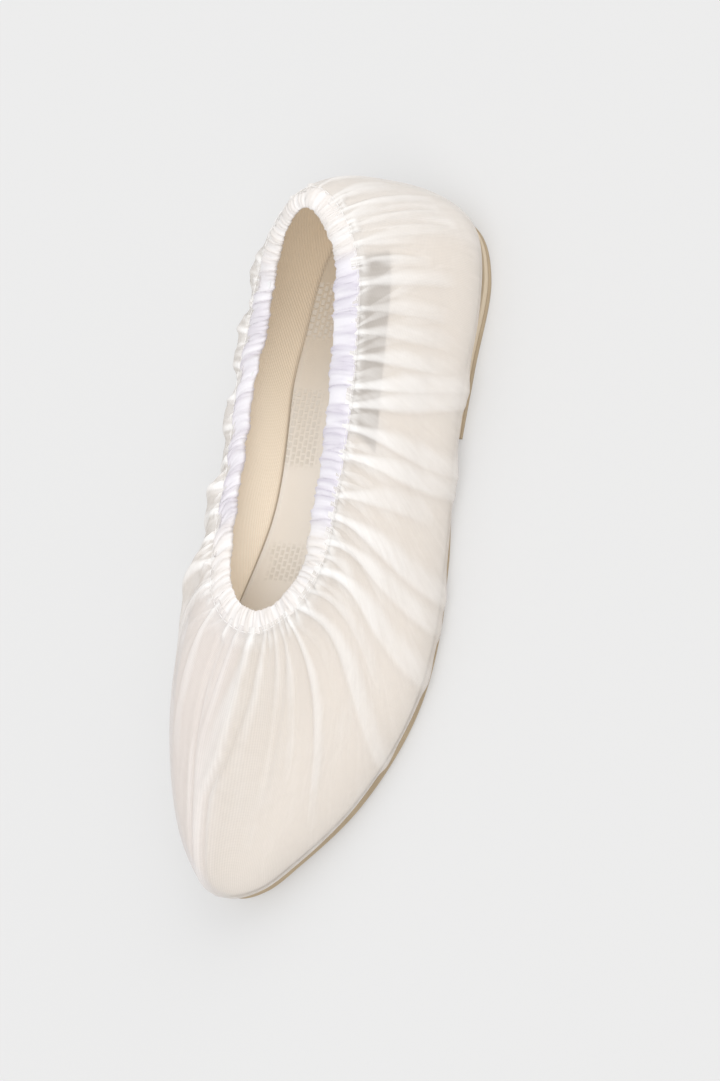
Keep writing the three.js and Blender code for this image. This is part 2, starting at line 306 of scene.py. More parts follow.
TREAD_DEEP = 0.6
ROUND_EDGE = [(1.2, 0.0), (0.45, 0.05), (0.08, 0.18), (0.0, 0.34), (0.02, 0.44), (0.16, 0.47), (0.16, 0.51),
              (0.02, 0.54), (0.0, 0.74), (0.10, 0.90), (0.5, 1.0), (3.0, 1.0)]
outsole = sole_slab("outsole_body", tan_rubber, ROUND_EDGE,
                    lambda s: underside(s) + TREAD_DEEP * smooth(0.5, 0.54, s / LENGTH), sole_top)
settle(outsole, "tan_rubber", "outsole")


# -------------------- Tread ribs
# Low wavy ribs moulded across the ball of the outsole, for grip. Each is one line across the sole, swept
# with a round section whose upper half is sunk in the rubber.

def new_tree(name, inputs):
    """A node tree with named inputs, its start, the function that adds nodes, and one that ends it."""
    tree = bpy.data.node_groups.new(name, "GeometryNodeTree")
    tree.interface.new_socket("Geometry", in_out="INPUT", socket_type="NodeSocketGeometry")
    tree.interface.new_socket("Geometry", in_out="OUTPUT", socket_type="NodeSocketGeometry")
    for label, value in inputs.items():
        kind = "NodeSocketFloat" if isinstance(value, float) else "NodeSocketMaterial"
        tree.interface.new_socket(label, in_out="INPUT", socket_type=kind).default_value = value
    start = tree.nodes.new("NodeGroupInput")
    end = tree.nodes.new("NodeGroupOutput")
    add = node_adder(tree)

    def close(geometry):
        real = add("GeometryNodeRealizeInstances", {"Geometry": geometry}).outputs["Geometry"]
        painted = add("GeometryNodeSetMaterial", {"Geometry": real, "Material": start.outputs["Finish"]})
        tree.links.new(painted.outputs["Geometry"], end.inputs["Geometry"])

    return tree, start.outputs, add, close


def grow(piece, tree, inputs):
    """Runs a node tree on a piece with its named inputs, and keeps the result as the piece's plain mesh."""
    modifier = piece.modifiers.new(tree.name, "NODES")
    modifier.node_group = tree
    for item in tree.interface.items_tree:
        if item.item_type == "SOCKET" and item.in_out == "INPUT" and item.name in inputs:
            modifier[item.identifier] = inputs[item.name]
    ready = piece.evaluated_get(bpy.context.evaluated_depsgraph_get())
    mesh = bpy.data.meshes.new_from_object(ready)
    piece.modifiers.remove(modifier)
    piece.data = mesh


RIB_PITCH = 3.2
RIB_RADIUS = 0.7
RIB_INSET = 5
RIB_WAVE = 1.3
RIB_POINTS = 40
TREAD_START = 0.555
TREAD_END = 0.90

rib_inputs = {"Rib radius": RIB_RADIUS / 1000, "Point spacing": 0.0015, "Finish": tan_rubber}
tree, given, add, close = new_tree("tread ribs", rib_inputs)
lines = add("GeometryNodeMeshToCurve", {"Mesh": given["Geometry"]})
even = add("GeometryNodeResampleCurve", {"Curve": lines.outputs["Curve"], "Length": given["Point spacing"]},
           mode="LENGTH")
section = add("GeometryNodeCurvePrimitiveCircle", {"Resolution": 8, "Radius": given["Rib radius"]})
ribs = add("GeometryNodeCurveToMesh", {"Curve": even.outputs["Curve"], "Fill Caps": True,
                                       "Profile Curve": section.outputs["Curve"]})
close(ribs.outputs["Mesh"])


def half_width(s, inset):
    """The outer and inner edge of the sole at a distance s from the heel, drawn in by an inset."""
    outer = np.interp(s, -sole_sides[0][:, 1], sole_sides[0][:, 0]) - inset
    inner = np.interp(s, -sole_sides[1][:, 1], sole_sides[1][:, 0]) + inset
    return outer, inner


points, edges = [], []
for s in np.arange(TREAD_START * LENGTH, TREAD_END * LENGTH, RIB_PITCH):
    outer, inner = half_width(s, RIB_INSET)
    for x in np.linspace(inner, outer, RIB_POINTS):
        y = s + RIB_WAVE * math.sin(x / 3.4)
        points.append((x, -y, float(underside(y)) + RIB_RADIUS + 0.01))
    first = len(points) - RIB_POINTS
    edges += [(first + i, first + i + 1) for i in range(RIB_POINTS - 1)]
tread = make_piece("tread_ribs", points, [], tan_rubber, edges=edges)
grow(tread, tree, rib_inputs)
settle(tread, "tan_rubber")


# -------------------- Heel pieces
# The low heel is two layers in the sole's outline: a pale pressed board lift, and below it the tan rubber
# piece that wears on the ground. Both end in a straight edge under the waist.

HEEL_END = 0.335 * LENGTH
SKIN = 0.02


def top_piece_top(s):
    return (underside(s) - 2 * GAP) / 2


leatherboard, add, wire = new_finish("leatherboard", 0.8)
where = on_piece(add)
flat = add("ShaderNodeMapping", {"Vector": where, "Scale": (1.0, 1.0, 9.0)}).outputs["Vector"]
fibre = noise(add, flat, 420.0, 6.0, 0.7)
wire(blend(add, fibre, tone(196, 178, 152), tone(226, 211, 188)))
wire(bump(add, fibre, 0.4, 0.0002), "Normal")

LIFT_EDGE = [(1.0, 0.0), (0.5, 0.06), (0.4, 0.3), (0.4, 0.7), (0.5, 0.94), (1.0, 1.0)]
heel_lift = sole_slab("heel_lift_body", leatherboard, LIFT_EDGE,
                      lambda s: top_piece_top(s) + SKIN, lambda s: underside(s) - SKIN, cut=HEEL_END)
settle(heel_lift, "leatherboard", "heel_lift")
TOP_PIECE_EDGE = [(1.1, 0.0), (0.5, 0.10), (0.25, 0.35), (0.2, 0.7), (0.35, 0.95), (0.8, 1.0)]
top_piece = sole_slab("heel_top_piece_body", tan_rubber, TOP_PIECE_EDGE,
                      np.zeros_like, top_piece_top, cut=HEEL_END)
settle(top_piece, "tan_rubber", "heel_top_piece")


# -------------------- Bottom filling, shank and insole board
# Hidden under the foot: felt fills the hollow under the ball, a spring-steel strip stiffens the waist, and
# the fibre board above them is what the upper is lasted to. They keep their own shapes.

def repaint(node, finish):
    """Gives a node that keeps its shape a better finish."""
    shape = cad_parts[node]
    shape.data.materials.clear()
    shape.data.materials.append(finish)


def speckled(name, rough, dark, light, scale, depth):
    """A matt finish of fine specks, which also stand up a little."""
    finish, add, wire = new_finish(name, rough)
    speck = noise(add, on_piece(add), scale, 5.0, 0.65)
    wire(blend(add, speck, dark, light))
    wire(bump(add, speck, 0.5, depth), "Normal")
    return finish


grey_felt = speckled("grey_felt", 0.95, tone(128, 122, 114), tone(176, 170, 160), 900.0, 0.0004)
fibre_board = speckled("fibre_board", 0.85, tone(150, 124, 90), tone(186, 160, 122), 500.0, 0.0002)
repaint("bottom_filler", grey_felt)
repaint("insole_board", fibre_board)
spring_steel, add, wire = new_finish("spring_steel", 0.3, Metallic=1.0)
where = on_piece(add)
drawn = add("ShaderNodeMapping", {"Vector": where, "Scale": (40.0, 1.0, 40.0)}).outputs["Vector"]
brushed = noise(add, drawn, 60.0, 4.0)
wire(blend(add, brushed, tone(150, 153, 157), tone(204, 206, 209)))
repaint("shank", spring_steel)


# -------------------- Insole foam and heel cushion
# Pads cut from 3 mm sheet foam: one under the heel, one from there to the toe. They lie flat between board
# and sock, cemented to the board, and only their cut edges are softened.

CLOTH = 0.8
BOARD = 1.5
FOAM = 3.0
FOAM_INSET = 6.0
CUSHION_END = 0.3 * LENGTH


def foam_top(s):
    """Height of the foam's upper face at a distance s from the heel."""
    return sole_top(s) + CLOTH + 3 * GAP + BOARD + FOAM


cream_foam = speckled("cream_foam", 0.95, tone(220, 210, 188), tone(240, 233, 216), 1500.0, 0.0003)
SOFT_EDGE = ((0.7, 0.0), (0.2, 0.12), (0.0, 0.4), (0.1, 0.7), (0.5, 0.92), (1.4, 1.0))
FOAM_EDGE = [(FOAM_INSET + inset, share) for inset, share in SOFT_EDGE]
for node, end, front in (("heel_cushion", CUSHION_END, False), ("insole_foam", CUSHION_END + GAP, True)):
    pad = sole_slab(node + "_pad", cream_foam, FOAM_EDGE,
                    lambda s: foam_top(s) - FOAM, foam_top, cut=end, front=front)
    settle(pad, "foam", node)


# -------------------- Base upper
# The opaque upper under the organza: fine off-white cloth with a raised cross rib, lasted over the toe and
# heel and turned in under the board. Along the quarters its top edge is cut back; the cloth still runs there
# and is painted dark grey as painted shade of the gap behind the cut edge.

HEEL_HEIGHT = 60.0
THROAT_HEIGHT = 37.0
CASING = 9.0
LAP = 2.5
WALL_STEPS = 49
PLACE_STEP = 0.003
CLOTH_ROUND = 250
AROUND = 720
BASE_IN = 0.35
# Where the painted shade of the gap behind the cut-back edge lies: along the shoe, then up the wall
SHADE_STRIP_ALONG = (0.14, 0.155, 0.505, 0.52)
SHADE_STRIP_UP = (0.775, 0.79)

# Top edge: shares of length and width, then the share of the drop from heel height to throat height
TOP_EDGE = [
    (0.103, -0.058, 1), (0.123, 0.012, 0.86), (0.171, 0.063, 0.60), (0.258, 0.10, 0.38), (0.363, 0.13, 0.20),
    (0.472, 0.15, 0.08), (0.56, 0.15, 0.03), (0.609, 0.097, 0.01), (0.634, 0, 0), (0.625, -0.097, 0),
    (0.593, -0.17, 0), (0.52, -0.222, 0), (0.427, -0.244, 0.07), (0.331, -0.253, 0.20),
    (0.242, -0.227, 0.37), (0.173, -0.208, 0.58), (0.124, -0.147, 0.84),
]
TOP_THROAT = 8
top_sides = two_sides([(w * WIDTH, -s * LENGTH, THROAT_HEIGHT + h * (HEEL_HEIGHT - THROAT_HEIGHT))
                       for s, w, h in TOP_EDGE], TOP_THROAT)

# How the wall swells between the two edges, from the heel (first) to the toe (last)
OUTER_SWELL = {"out": [4, 9, 8, 7, 6, 7], "up": [18, 18, 18, 18, 17, 17],
               "over": [13, 16, 16, 20, 32, 46], "drop": [5, 0, 0, 0, -1, -3]}
INNER_SWELL = {"out": [4, 5, 8, 4, 3, 7], "up": [18, 18, 21, 16, 13, 17],
               "over": [13, 17, 17, 14, 22, 46], "drop": [5, 3, 1, -1, -2, -3]}


def from_heel(places):
    """Places on both sides counted from 0 at the heel to 1 at the toe."""
    places = np.mod(places, 2)
    return np.where(places <= 1, places, 2 - places)


def swell(key, places):
    """A swell value at each place, level at heel and toe."""
    u = from_heel(places)
    values = []
    for table in (OUTER_SWELL, INNER_SWELL):
        v = np.array([table[key][1]] + table[key] + [table[key][-2]], float)
        i = np.minimum(4, np.floor(u * 5).astype(int))
        t = u * 5 - i
        a, b, c, d = v[i], v[i + 1], v[i + 2], v[i + 3]
        values.append(b + 0.5 * t * (c - a + t * (2 * a - 5 * b + 4 * c - d + t * (3 * (b - c) + d - a))))
    return np.where(places <= 1, values[0], values[1])[:, None]


def wall(places, rows):
    """The upper's outer face: points, outward directions and height up the wall, for every place and row.
    Rows up to 1 are shares of the wall below the casing, and rows above 1 are 1 + millimetres into it."""
    spread = np.r_[places[0] - PLACE_STEP, places, places[-1] + PLACE_STEP]
    ring = np.mod(spread, 2)
    foot, foot_out = on_edge(sole_sides, ring), outward(sole_sides, ring)
    top, top_out = on_edge(top_sides, ring), outward(top_sides, ring)
    start = foot - foot_out
    start[:, 2] = sole_top(-start[:, 1]) + GAP
    lower = start + foot_out * swell("out", ring) + np.array([0, 0, 1]) * swell("up", ring)
    upper = top + top_out * swell("over", ring) + np.array([0, 0, 1]) * swell("drop", ring)
    t = np.linspace(0, 1, WALL_STEPS)[None, :, None]
    lines = (start[:, None] * (1 - t)**3 + 3 * lower[:, None] * (1 - t)**2 * t
             + 3 * upper[:, None] * (1 - t) * t**2 + top[:, None] * t**3)
    far = np.concatenate([np.zeros((len(ring), 1)),
                          np.cumsum(np.linalg.norm(np.diff(lines, axis=1), axis=2), axis=1)], axis=1)
    rows = np.asarray(rows, float)
    points = np.zeros((len(ring), len(rows), 3))
    height = np.zeros((len(ring), len(rows)))
    for i in range(len(ring)):
        below = far[i, -1] - CASING
        height[i] = np.where(rows <= 1, below * rows, below + rows - 1)
        for k in range(3):
            points[i, :, k] = np.interp(height[i], far[i], lines[i, :, k])
    up = np.gradient(points, axis=1)
    ahead = np.gradient(points, axis=0)
    out = np.cross(up, ahead)
    out /= np.linalg.norm(out, axis=2)[..., None]
    return points[1:-1], out[1:-1], height[1:-1]


def grid_faces(across, up, around):
    """Four-sided faces of a grid whose first direction may close on itself."""
    faces = []
    for i in range(across if around else across - 1):
        k = (i + 1) % across
        for j in range(up - 1):
            faces.append((i * up + j, k * up + j, k * up + j + 1, i * up + j + 1))
    return faces


def lay_cloth(name, finish, places, points, height, around):
    """A cloth over a grid of points, with its own measure: metres round the shoe and up the wall."""
    measure = np.stack([np.broadcast_to(places[:, None] * CLOTH_ROUND, height.shape), height], axis=2) / 1000
    faces = grid_faces(*height.shape, around)
    return make_piece(name, points.reshape(-1, 3), faces, finish, around=measure.reshape(-1, 2))


def wall_cloth(name, finish, places, rows, depth, around):
    """A layer of cloth at some depth from the upper's outer face."""
    points, out, height = wall(places, rows)
    points = points + out * depth(places, rows, points)[..., None]
    return lay_cloth(name, finish, places, points, height, around)


def kept_value(add, name):
    return add("ShaderNodeAttribute", {}, attribute_name=name).outputs["Fac"]


def keep_value(piece, name, values):
    """Keeps a value at each point of a piece, for its finish or its node tree to read."""
    layer = piece.data.attributes.new(name, "FLOAT", "POINT")
    layer.data.foreach_set("value", values.ravel())


def maths(add, how, first, second=0.0, clamp=False):
    return add("ShaderNodeMath", {0: first, 1: second}, operation=how, use_clamp=clamp).outputs[0]


base_cloth, add, wire = new_finish("base_cloth", 0.85, Sheen_Weight=0.25, Sheen_Roughness=0.5)
where = on_piece(add)
uneven = noise(add, where, 55.0, 2.0)
ribbing = add("ShaderNodeTexWave", {"Vector": where, "Scale": 300.0, "Distortion": 1.2, "Detail": 2.0,
                                    "Detail Scale": 1.4}, bands_direction="Y").outputs["Fac"]
rib_share = maths(add, "MULTIPLY", ribbing, noise(add, where, 1100.0, 2.0))
cloth_tone = blend(add, uneven, tone(238, 228, 216), tone(244, 236, 226))
rib_tone = blend(add, rib_share, cloth_tone, tone(250, 246, 241))
# Painted shade: where the top edge is cut back, the cloth is coloured dark grey for the shadowed gap seen
# through the organza
wire(blend(add, kept_value(add, "painted_gap_shade"), rib_tone, tone(132, 121, 109)))
wire(bump(add, rib_share, 0.7, 0.0004), "Normal")

ring_places = np.arange(AROUND) * 2 / AROUND
base_rows = np.r_[0, 0.01, 0.022, 0.035, np.linspace(0.05, 1, 52), 1 + LAP]


def overhang(places, rows):
    """How far the upper swells out over the edge of the sole, most on the outer side of the waist."""
    outer_side = band(places, 0.02, 0.12, 0.88, 0.99)
    waist = band(places, 0.16, 0.24, 0.40, 0.55)
    swelling = band(rows, 0.0, 0.035, 0.02, 0.42)
    return (1.0 + 0.8 * outer_side + 1.6 * waist)[:, None] * swelling[None]


base_upper = wall_cloth("base_upper_cloth", base_cloth, ring_places, base_rows,
                        lambda places, rows, points: 0.85 * overhang(places, rows) - BASE_IN, True)
# Painted shade mask: the strip of cloth that is coloured as the shadowed gap behind the cut-back edge
gap_shade = band(from_heel(ring_places)[:, None], *SHADE_STRIP_ALONG) * smooth(*SHADE_STRIP_UP, base_rows)[None]
keep_value(base_upper, "painted_gap_shade", gap_shade)
settle(base_upper, "base_cloth", "base_upper")


# -------------------- Toe puff and heel counter
# Resin-stiffened cloth between base cloth and lining, softened by heat and pressed over the last, which
# keeps toe and heel in shape. Both are out of sight and keep their own shapes.

stiff_cloth = speckled("stiff_cloth", 0.85, tone(218, 210, 196), tone(238, 232, 220), 700.0, 0.0002)
repaint("toe_puff", stiff_cloth)
repaint("heel_counter", stiff_cloth)


# -------------------- Linings
# Beige diagonal twill in four panels: heel, two quarters and vamp, seamed edge to edge and lasted with the
# upper. It steps inward over the stiffened toe and heel. Its colour is painted darker toward the heel as
# painted shade inside the shoe, and a faint emission paints in the glow of light coming through it from
# behind.

LINING = 0.7
STIFFENER = 0.9
SEAMS = (0.12, 0.62, 1.38, 1.88)

# Painted light: a faint emission stands in for light passing through the cloth from behind
twill, add, wire = new_finish("twill_lining", 0.8, Sheen_Weight=0.2, Emission_Strength=0.14,
                              Emission_Color=tone(236, 221, 199))
measure = add("ShaderNodeUVMap", {}, uv_map="cloth").outputs["UV"]
slanted = add("ShaderNodeMapping", {"Vector": measure, "Rotation": (0, 0, math.radians(-45))})
slanted = slanted.outputs["Vector"]
diagonal = add("ShaderNodeTexWave", {"Vector": slanted, "Scale": 290.0, "Distortion": 0.3, "Detail": 1.0},
               bands_direction="Y").outputs["Fac"]
yarns = noise(add, slanted, 900.0, 3.0)
shade = noise(add, measure, 30.0, 2.0)


def remap(add, value, low, high, to_low=0.0, to_high=1.0):
    wires = {"Value": value, "From Min": low, "From Max": high, "To Min": to_low, "To Max": to_high}
    return add("ShaderNodeMapRange", wires).outputs["Result"]


def lengthwise(add, low, high):
    """A share that runs from 0 to 1 between two places along the shoe."""
    return remap(add, add("ShaderNodeSeparateXYZ", {0: on_piece(add)}).outputs["Y"], low, high)


# Painted shade: the lining is coloured darker toward the heel, where shade falls inside the shoe, and its
# lighter twill lines show only toward the front
forward = lengthwise(add, 0.11, -0.03)
painted_heel_shade = blend(add, shade, tone(216, 200, 177), tone(224, 209, 187))
unshaded = blend(add, shade, tone(240, 227, 209), tone(246, 235, 219))
ground = blend(add, forward, painted_heel_shade, unshaded)
lighter = blend(add, maths(add, "MULTIPLY", diagonal, 0.45), ground, tone(250, 243, 232))
wire(blend(add, forward, ground, lighter))
wire(bump(add, maths(add, "ADD", diagonal, yarns), 0.3, 0.0003), "Normal")

# How far the slack cloth bulges inward at the foot of the inner side: places, and millimetres at each
BULGE = ((1.0, 1.06, 1.15, 1.3, 1.5, 1.65, 1.8), (2.0, 6.5, 8.0, 5.0, 2.6, 1.5, 0))


def lining_depth(places, rows, points):
    """How far in the lining lies, with a few slack ripples that fade at its seams."""
    u = from_heel(places)[:, None]
    counter = (1 - smooth(0.24, 0.34, u)) * (1 - smooth(0.62, 0.89, rows))[None]
    puff = smooth(0.72, 0.85, u) * (1 - smooth(0.48, 0.76, rows))[None]
    slack = 0.35 * np.sin(points[..., 1] / 9 + 2 * np.sin(points[..., 2] / 11))
    inner = np.interp(np.mod(places, 2), *BULGE)
    above = points[..., 2] - foam_top(-points[..., 1])
    eased = inner[:, None] * smooth(-0.5, 2.5, above) * (1 - smooth(6, 24, above))
    return (-CLOTH - GAP - (STIFFENER + GAP) * np.maximum(counter, puff) - LINING / 2 - eased
            + slack * smooth(0.02, 0.3, rows)[None] * (1 - smooth(0.8, 1.0, rows))[None])


lining_rows = np.r_[np.linspace(0.02, 1, 44), 1 + LAP]
PANELS = {
    "lining_heel": (SEAMS[3], SEAMS[0] + 2, 0.0037), "lining_quarter_outer": (SEAMS[0], SEAMS[1], 0.0061),
    "lining_vamp": (SEAMS[1], SEAMS[2], 0.0128), "lining_quarter_inner": (SEAMS[2], SEAMS[3], 0.0054),
}
for node, (first, last, area) in PANELS.items():
    panel_places = np.linspace(first, last, int((last - first) * 240))
    panel = wall_cloth(node + "_cloth", twill, panel_places, lining_rows, lining_depth, False)
    panel.data.flip_normals()
    settle(panel, "twill_lining", node)


# -------------------- Sock liner
# The cream sock that the foot stands on: thin coated cloth cemented to the foam and turned up a little
# where it meets the lining. It dips in the middle, most under the heel, and small dashes are pressed in.
# Its colour is painted darker toward the heel as painted shade, and a faint emission paints a glow on it.

SOCK = 0.8

# Painted light: a faint emission brightens the sock as if lit through the upper
sock_cloth, add, wire = new_finish("sock_cloth", 0.55, Sheen_Weight=0.1, Emission_Strength=0.03,
                                   Emission_Color=tone(232, 226, 216))
where = on_piece(add)
turned = add("ShaderNodeMapping", {"Vector": where, "Rotation": (0, 0, math.radians(90))}).outputs["Vector"]
gaps = add("ShaderNodeTexBrick", {"Vector": turned, "Scale": 430.0, "Mortar Size": 0.22,
                                  "Mortar Smooth": 0.5, "Brick Width": 1.1, "Row Height": 0.9},
           offset=0.5).outputs["Fac"]
dashes = maths(add, "SUBTRACT", 1.0, gaps, clamp=True)
marks = maths(add, "MULTIPLY", dashes, kept_value(add, "pressed"))
unshaded = blend(add, noise(add, where, 28.0, 3.0), tone(228, 222, 214), tone(235, 230, 223))
# Painted shade: the sock is coloured darker toward the heel, where the heel of the upper shades it
ground = blend(add, lengthwise(add, 0.10, 0.02), tone(200, 188, 170), unshaded)
wire(blend(add, marks, ground, tone(216, 210, 201)))
pores = add("ShaderNodeTexVoronoi", {"Vector": where, "Scale": 1500.0}).outputs["Distance"]
wire(bump(add, marks, 0.5, 0.0003, over=bump(add, pores, 0.25, 0.0001), sunk=True), "Normal")

SOCK_SIDE = 180
SOCK_ACROSS = 24
HOLLOW_DEPTH = 0.35
RIM_REACH = 0.45
RIM_STEPS = 60
# The turned-up rim: lift above the foam and clearance in from the lining at each ring
SOCK_RIM = ((0.5, 1.0), (1.1, 0.55), (1.9, 0.4), (2.0, 0.8), (1.55, 1.5), (1.2, 2.6))
# Where the dashes are pressed in: each patch fades in and out between these shares of the length, along a
# line that starts DASH_START across the shoe at the heel and slants by DASH_SLANT to the toe
PRESSED = ((0.138, 0.145, 0.219, 0.226), (0.293, 0.300, 0.400, 0.407), (0.510, 0.517, 0.562, 0.569))
DASH_START = -29.5
DASH_SLANT = 27


def sock_ring(places, lift, clear):
    """Points round the lining's inner face, a lift above the foam and a clearance in from the cloth."""
    rows = np.linspace(0, RIM_REACH, RIM_STEPS)
    points, out, _ = wall(places, rows)
    points = points + out * (lining_depth(places, rows, points) - LINING / 2 - clear)[..., None]
    ring = np.zeros((len(places), 3))
    for i, line in enumerate(points):
        level = foam_top(-line[:, 1]) + lift
        k = np.argmax(line[:, 2] > level)
        share = (level[k] - line[k - 1, 2]) / (line[k, 2] - line[k - 1, 2])
        ring[i] = line[k - 1] + share * (line[k] - line[k - 1])
    return ring


def sock_level(middle, share, above):
    """Height of the sock's two faces. The upper one dips between its rims, most under the heel."""
    lift, dip = (GAP + SOCK + 0.05, HOLLOW_DEPTH) if above else (GAP, 0.0)
    s = -middle[..., 1]
    bowl = np.sin(np.pi * np.broadcast_to(share, s.shape)) ** 0.6
    hollow = band(s / LENGTH, 0.0, 0.08, 0.22, 0.40) + 0.4
    level = middle[..., 2] * (1 - bowl) + (foam_top(s) + lift) * bowl
    return level - dip * bowl * hollow


sock_places = np.arange(2 * SOCK_SIDE) / SOCK_SIDE
rims = [sock_ring(sock_places, lift, clear) for lift, clear in SOCK_RIM]
sock = closed_slab("sock_liner_cloth", sock_cloth, rims, SOCK_ACROSS, sock_level)
flats = np.zeros(len(sock.data.vertices) * 3)
sock.data.vertices.foreach_get("co", flats)
flats = flats.reshape(-1, 3) * 1000 - SHIFT
along = -flats[:, 1] / LENGTH
panels = sum(band(along, *patch) for patch in PRESSED)
inside = 1 - smooth(6.0, 7.5, np.abs(flats[:, 0] - DASH_START - DASH_SLANT * along))
keep_value(sock, "pressed", panels * inside)
settle(sock, "sock_cloth", "sock_liner")


# -------------------- Sheer upper
# Crisp white organza over the base cloth, gathered along the casing: soft folds run from the seam down and
# forward to the sole, and long flat pleats fall over the vamp. Where the cloth doubles it shows whiter, and
# round the heel it is painted whiter still, as painted light from above the heel.

# Each fold: place at the casing, place and row where it ends, height, width on its soft side, and which
# side falls away steeply (1 toward higher places, -1 toward lower)
FOLDS = [
    (0.03, 0.03, 0.5, 0.7, 3.0, 1), (0.058, 0.066, 0.3, 0.9, 3.2, -1), (0.083, 0.092, 0.33, 1.0, 3.5, 1),
    (0.1, 0.117, 0.25, 0.9, 3.2, 1), (0.125, 0.135, 0.6, 0.8, 3.0, 1), (0.15, 0.165, 0.5, 1.1, 3.5, -1),
    (0.205, 0.19, 0.3, 1.2, 4.8, 1), (0.258, 0.236, 0.28, 1.1, 4.5, 1), (0.308, 0.27, 0.25, 1.2, 5.0, 1),
    (0.362, 0.298, 0.15, 1.3, 5.0, 1), (0.425, 0.305, 0.0, 1.5, 6.0, 1), (0.467, 0.32, 0.0, 1.5, 6.5, 1),
    (0.517, 0.408, 0.0, 1.7, 6.5, 1), (0.583, 0.43, 0.0, 1.5, 6.5, 1), (0.675, 0.49, 0.22, 1.3, 6.5, 1),
    (0.725, 0.558, 0.0, 1.8, 7.0, 1), (0.783, 0.6, 0.05, 1.5, 6.0, 1), (0.842, 0.655, 0.0, 1.6, 7.0, 1),
    (0.883, 0.735, 0.22, 1.0, 4.5, 1), (0.917, 0.758, 0.0, 1.5, 6.0, 1), (0.942, 0.89, 0.12, 1.5, 3.4, 1),
    (0.958, 0.945, 0.42, 0.9, 2.6, -1), (0.972, 0.968, 0.55, 0.8, 2.4, 1),
    (0.986, 0.999, 0.48, 1.0, 3.0, -1),
    (1.003, 1.02, 0.01, 2.0, 7.5, -1), (1.028, 1.03, 0.1, 0.9, 3.0, 1), (1.05, 1.034, 0.15, 1.2, 3.6, 1),
    (1.092, 1.072, 0.45, 1.2, 4.0, 1), (1.14, 1.215, 0.2, 1.4, 6.0, -1), (1.19, 1.33, 0.1, 1.6, 6.5, -1),
    (1.25, 1.4, 0.0, 1.6, 6.5, -1), (1.31, 1.46, 0.1, 1.5, 6.0, -1), (1.37, 1.5, 0.05, 1.6, 6.5, -1),
    (1.43, 1.56, 0.0, 1.7, 6.5, -1), (1.5, 1.61, 0.2, 1.4, 6.0, -1), (1.56, 1.66, 0.0, 1.6, 6.5, -1),
    (1.62, 1.71, 0.2, 1.4, 6.0, -1), (1.69, 1.75, 0.3, 1.3, 5.5, -1), (1.76, 1.8, 0.3, 1.1, 5.0, -1),
    (1.83, 1.85, 0.4, 1.2, 4.5, -1), (1.9, 1.905, 0.3, 1.0, 4.0, -1), (1.955, 1.955, 0.35, 0.9, 3.5, 1),
]
PINCHES = 100
SOFT_FOLDS = 62

# Sharp creases between folds: rows and the place at each, first and last row, depth
CREASES = [
    (((0.3, 0.62, 0.95), (0.088, 0.085, 0.083)), 0.97, 0.33, 0.7),
    (((0.2, 0.53, 0.95), (0.117, 0.108, 0.1)), 0.97, 0.25, 0.7),
    (((0.35, 0.55, 0.75, 0.9, 1.0), (0.172, 0.16, 0.15, 0.15, 0.154)), 0.98, 0.5, 0.7),
    (((0.05, 0.4, 0.55, 0.78, 1.0), (1.017, 1.017, 1.008, 1.0, 1.0)), 0.98, 0.02, 1.3),
    (((0.3, 0.8, 1.0), (0.976, 0.966, 0.963)), 0.97, 0.35, 0.5),
    (((0.05, 0.4, 0.8, 1.0), (1.029, 1.034, 1.045, 1.05)), 0.97, 0.08, 0.9),
    (((0.6, 0.95), (0.052, 0.048)), 0.98, 0.6, 0.6),
]


def small_folds():
    """What the elastic draws up along the seam: short pinches, and between the deep folds softer ones."""
    chance = np.random.default_rng(11)
    extra = []
    for i in range(PINCHES):
        seat = 2 * (i + chance.uniform(-0.7, 0.7)) / PINCHES
        reach = chance.uniform(0.90, 0.965)
        extra.append((seat, seat, reach, chance.uniform(0.4, 1.2), chance.uniform(1.1, 1.9),
                      chance.choice((-1, 1))))
    for i in range(SOFT_FOLDS):
        seat = 2 * (i + chance.uniform(-0.3, 0.3)) / SOFT_FOLDS
        lean = 0.15 if 0.2 < seat < 0.95 else -0.15 if 1.05 < seat < 1.8 else 0.0
        reach = chance.uniform(0.30, 0.72)
        calm = 0.45 if 1.15 < seat < 1.85 or 0.88 < seat < 1.12 else 0.65
        extra.append((seat, seat - lean * (1 - reach), reach, calm * chance.uniform(0.6, 1.25),
                      chance.uniform(2.6, 4.2), chance.choice((-1, 1, 1))))
    return extra


def drape(places, rows, spacing):
    """Height of the folds, and how far the cloth doubles, over every place and row. spacing is how many
    millimetres one unit of place measures there."""
    relief = np.zeros(spacing.shape)
    layers = np.zeros(spacing.shape)
    for seat, end, last_row, tall, wide, steep in FOLDS + small_folds():
        t = np.clip((1 - rows) / (1 - last_row), 0, None)[None, :]
        eased = np.minimum(t, 1)
        middle = seat + (end - seat) * eased * (1.5 - 0.5 * eased)
        away = (np.mod(places[:, None] - middle + 1, 2) - 1) * spacing
        opened = wide * (0.30 + 0.70 * smooth(0.0, 0.5, t))
        side = np.where(away * steep > 0, 0.4, 1.0) * opened
        fade = (1 - eased) ** 0.8
        tail = 0.5 * smooth(0.55, 1.0, t) if last_row <= 0.05 else 0.0
        relief += tall * (fade * (0.55 + 0.45 * smooth(0.0, 0.4, t)) + tail) * np.exp(-(away / side) ** 2)
        crest = np.exp(-(away / (0.9 * side)) ** 4)
        whiter = min(0.85, 0.10 + 0.5 * tall) * (0.8 if 0.86 < seat < 1.15 else 1.0)
        layers = np.maximum(layers, whiter * crest * (fade ** 0.7 + 0.3 * tail))
    for route, first_row, last_row, deep in CREASES:
        middle = np.interp(rows, *route)
        away = (np.mod(places[:, None] - middle + 1, 2) - 1) * spacing
        along = band(rows, last_row, last_row + 0.15, first_row - 0.04, first_row)[None]
        valley = np.exp(-(away / 1.4) ** 2) - 0.4 * np.exp(-((np.abs(away) - 2.6) / 1.6) ** 2)
        relief -= deep * along * valley
        layers *= 1 - np.clip(valley, 0, 1) * along
    return relief, layers


